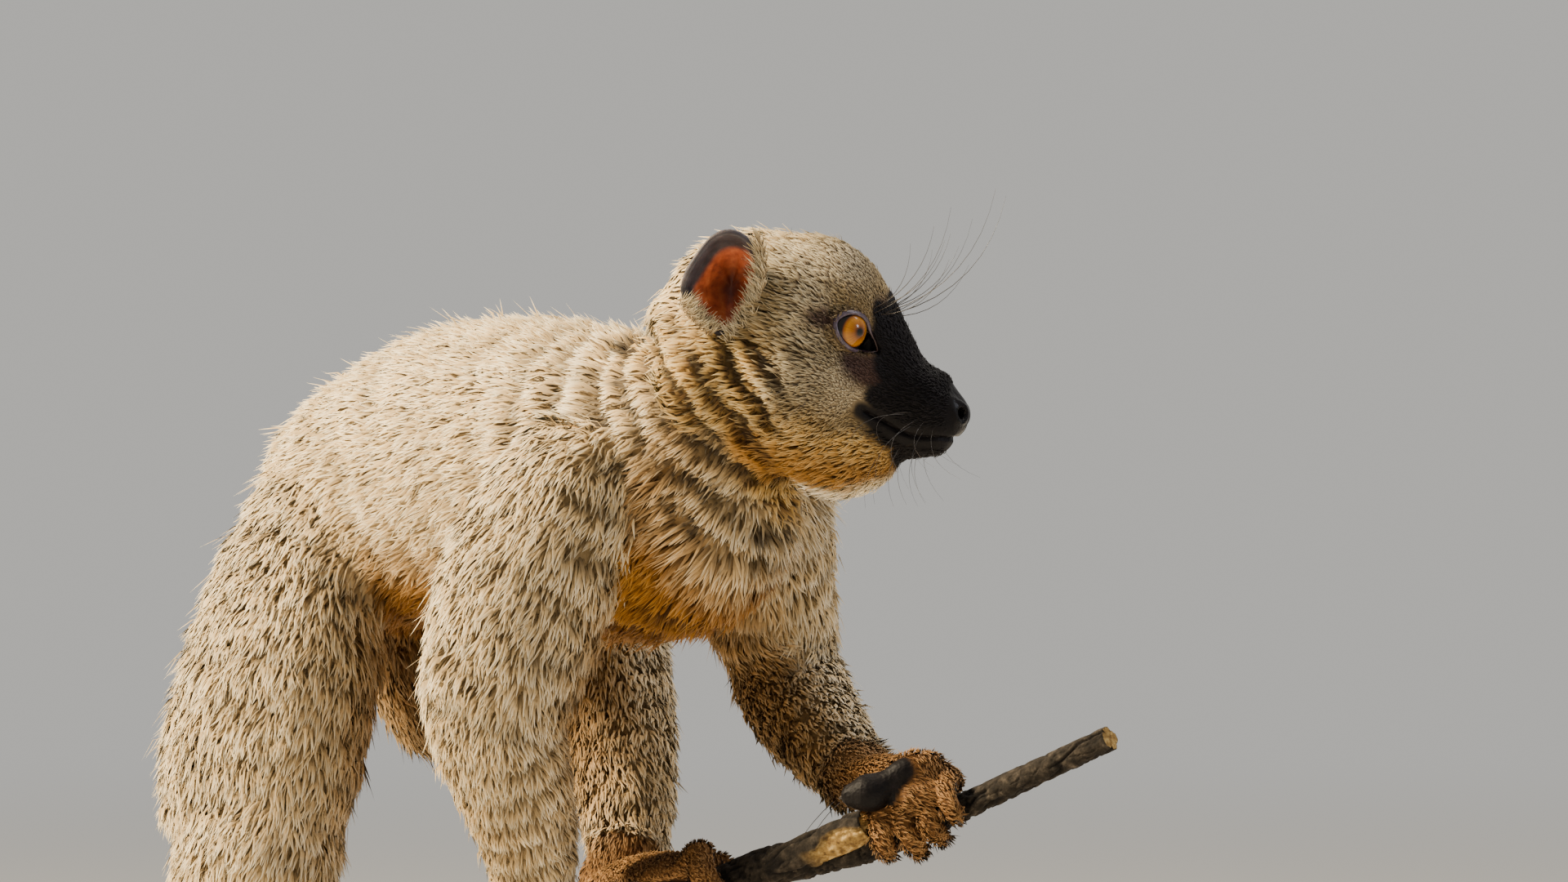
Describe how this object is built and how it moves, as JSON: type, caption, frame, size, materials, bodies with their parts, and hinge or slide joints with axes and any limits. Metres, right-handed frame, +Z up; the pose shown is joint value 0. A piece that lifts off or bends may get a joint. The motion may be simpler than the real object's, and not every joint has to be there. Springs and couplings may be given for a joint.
{
  "type": "brown lemur",
  "caption": "Life-size museum-style model of a brown lemur climbing along a cut branch, head turned aside, tail hanging, held by a plain display stand.",
  "frame": {"origin": "centre of the stand base's underside, on the floor", "axes": "+Z up; +X the way the trunk faces, along the branch's run; +Y the animal's left"},
  "size_m": [0.6135, 0.22, 0.4485],
  "materials": {
    "coat": "dense soft fur, grey-brown with cream and golden tips, rufous below",
    "tail_coat": "long dense fur, dark grey-brown",
    "paw": "short rufous fur over dark bare pads",
    "nose_skin": "moist black skin",
    "ear_skin": "thin bare skin, dark grey rim and warm inside",
    "eye": "polished, orange-amber iris and dark pupil",
    "bark": "dry grey bark, pale broken wood",
    "stand_wood": "satin dark stain",
    "stand_steel": "satin"
  },
  "bodies": {
    "root": {"head": "coat", "neck": "coat", "trunk": "coat", "upper_arm_left": "coat", "upper_arm_right": "coat", "forearm_left": "coat", "forearm_right": "coat", "thigh_left": "coat", "thigh_right": "coat", "shank_left": "coat", "shank_right": "coat", "tail_1": "tail_coat", "tail_2": "tail_coat", "tail_3": "tail_coat", "tail_4": "tail_coat", "hand_left": "paw", "hand_right": "paw", "foot_left": "paw", "foot_right": "paw", "nose": "nose_skin", "ear_left": "ear_skin", "ear_right": "ear_skin", "eye_left": "eye", "eye_right": "eye", "perch_branch": "bark", "stand_base": "stand_wood", "stand_rod_1": "stand_steel", "stand_rod_2": "stand_steel"}
  },
  "joints": []
}
